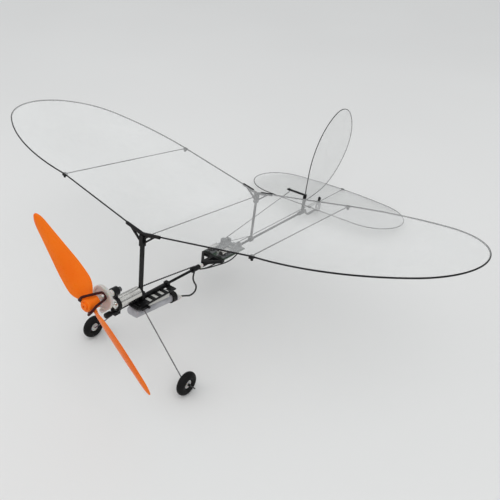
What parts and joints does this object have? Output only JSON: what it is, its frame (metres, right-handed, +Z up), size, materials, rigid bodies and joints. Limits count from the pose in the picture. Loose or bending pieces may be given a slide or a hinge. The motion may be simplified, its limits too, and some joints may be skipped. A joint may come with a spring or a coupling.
{
  "type": "model aeroplane",
  "caption": "Ultra-light indoor model aeroplane: clear film over thin bent rods, a slim boom, a geared motor with a large propeller, wire landing gear and all-moving tail surfaces.",
  "frame": {"origin": "middle of the footprint, on the ground the model stands on", "axes": "+X forward, the way the propeller points; +Y to port, across the span; +Z up"},
  "size_m": [0.3496, 0.3778, 0.1278],
  "materials": {
    "carbon_rod": "satin drawn carbon",
    "black_plastic": "satin moulded",
    "clear_film": "thin clear film",
    "orange_plastic": "glossy moulded",
    "white_plastic": "satin nylon",
    "grey_plastic": "satin moulded",
    "motor_steel": "bright drawn can",
    "steel_wire": "dull wire",
    "tyre": "matt foam rubber",
    "band_rubber": "smooth",
    "battery_pouch": "satin foil pouch",
    "foam_pad": "soft",
    "circuit_board": "solder mask",
    "lead_insulation": "smooth"
  },
  "bodies": {
    "airframe": {"axle_collars": "black_plastic", "battery": "battery_pouch", "battery_band": "black_plastic", "battery_connector": "white_plastic", "battery_lead": "lead_insulation", "battery_pad": "foam_pad", "battery_tail": "lead_insulation", "battery_tray": "black_plastic", "boom": "carbon_rod", "front_wing_bracket": "black_plastic", "front_wing_strut": "black_plastic", "gear_leg_left": "steel_wire", "gear_leg_right": "steel_wire", "gear_mount": "black_plastic", "gearbox_frame": "black_plastic", "lead_connector": "white_plastic", "lead_sleeve": "black_plastic", "motor_can": "motor_steel", "motor_end_cap": "black_plastic", "motor_lead": "lead_insulation", "nose_cap": "black_plastic", "rear_wing_bracket": "black_plastic", "rear_wing_strut": "black_plastic", "receiver_board": "circuit_board", "rib_clips": "black_plastic", "servo_frames": "grey_plastic", "servo_motors": "motor_steel", "servo_mount": "black_plastic", "servo_screws": "steel_wire", "shaft_bush": "white_plastic", "tail_bracket": "black_plastic", "tail_pins": "steel_wire", "wing_film_left": "clear_film", "wing_film_right": "clear_film", "wing_ribs": "carbon_rod", "wing_spars_left": "carbon_rod", "wing_spars_right": "carbon_rod", "wing_tip_rod_left": "carbon_rod", "wing_tip_rod_right": "carbon_rod"},
    "propeller_unit": {"propeller": "orange_plastic", "prop_adapter": "white_plastic", "rubber_band": "band_rubber", "prop_shaft": "steel_wire", "drive_gear": "white_plastic"},
    "motor_rotor": {"motor_pinion": "white_plastic"},
    "wheel_left": {"tyre_left": "tyre", "wheel_hub_left": "white_plastic"},
    "wheel_right": {"tyre_right": "tyre", "wheel_hub_right": "white_plastic"},
    "rudder": {"fin_loop": "carbon_rod", "fin_film": "clear_film", "rudder_horn": "black_plastic"},
    "elevator": {"stabiliser_rods": "carbon_rod", "stabiliser_film": "clear_film", "stabiliser_clips": "black_plastic", "elevator_horn": "black_plastic"},
    "rudder_link": {"rudder_slider": "grey_plastic", "rudder_pushrod": "carbon_rod"},
    "elevator_link": {"elevator_slider": "grey_plastic", "elevator_pushrod": "carbon_rod"}
  },
  "joints": [
    {"name": "prop_spin", "type": "hinge", "parent": "airframe", "child": "propeller_unit", "pos_m": [0.15564, 0, 0.07415], "axis": [0.9839, 0, 0.1788], "continuous": true},
    {"name": "pinion_spin", "type": "hinge", "parent": "airframe", "child": "motor_rotor", "pos_m": [0.14749, 0, 0.06306], "axis": [0.9839, 0, 0.1788], "continuous": true},
    {"name": "wheel_left_spin", "type": "hinge", "parent": "airframe", "child": "wheel_left", "pos_m": [0.13807, 0.04565, 0.0086], "axis": [0, 1, 0], "continuous": true},
    {"name": "wheel_right_spin", "type": "hinge", "parent": "airframe", "child": "wheel_right", "pos_m": [0.13807, -0.04565, 0.0086], "axis": [0, 1, 0], "continuous": true},
    {"name": "rudder_hinge", "type": "hinge", "parent": "airframe", "child": "rudder", "pos_m": [-0.08735, 0, 0.027], "axis": [-0.1788, 0, 0.9839], "range_deg": [-15, 15]},
    {"name": "elevator_hinge", "type": "hinge", "parent": "airframe", "child": "elevator", "pos_m": [-0.11796, 0, 0.00864], "axis": [0, 1, 0], "range_deg": [-9, 15]},
    {"name": "rudder_servo_slide", "type": "slide", "parent": "airframe", "child": "rudder_link", "axis": [0.9839, 0, 0.1788], "range_m": [-0.0048, 0.0048]},
    {"name": "elevator_servo_slide", "type": "slide", "parent": "airframe", "child": "elevator_link", "axis": [0.9839, 0, 0.1788], "range_m": [-0.0011, 0.0018]}
  ],
  "couplings": [
    {"joint": "pinion_spin", "follows": "prop_spin", "ratio": -6},
    {"joint": "rudder_servo_slide", "follows": "rudder_hinge", "m_per_rad": 0.0178},
    {"joint": "elevator_servo_slide", "follows": "elevator_hinge", "m_per_rad": 0.00615}
  ]
}
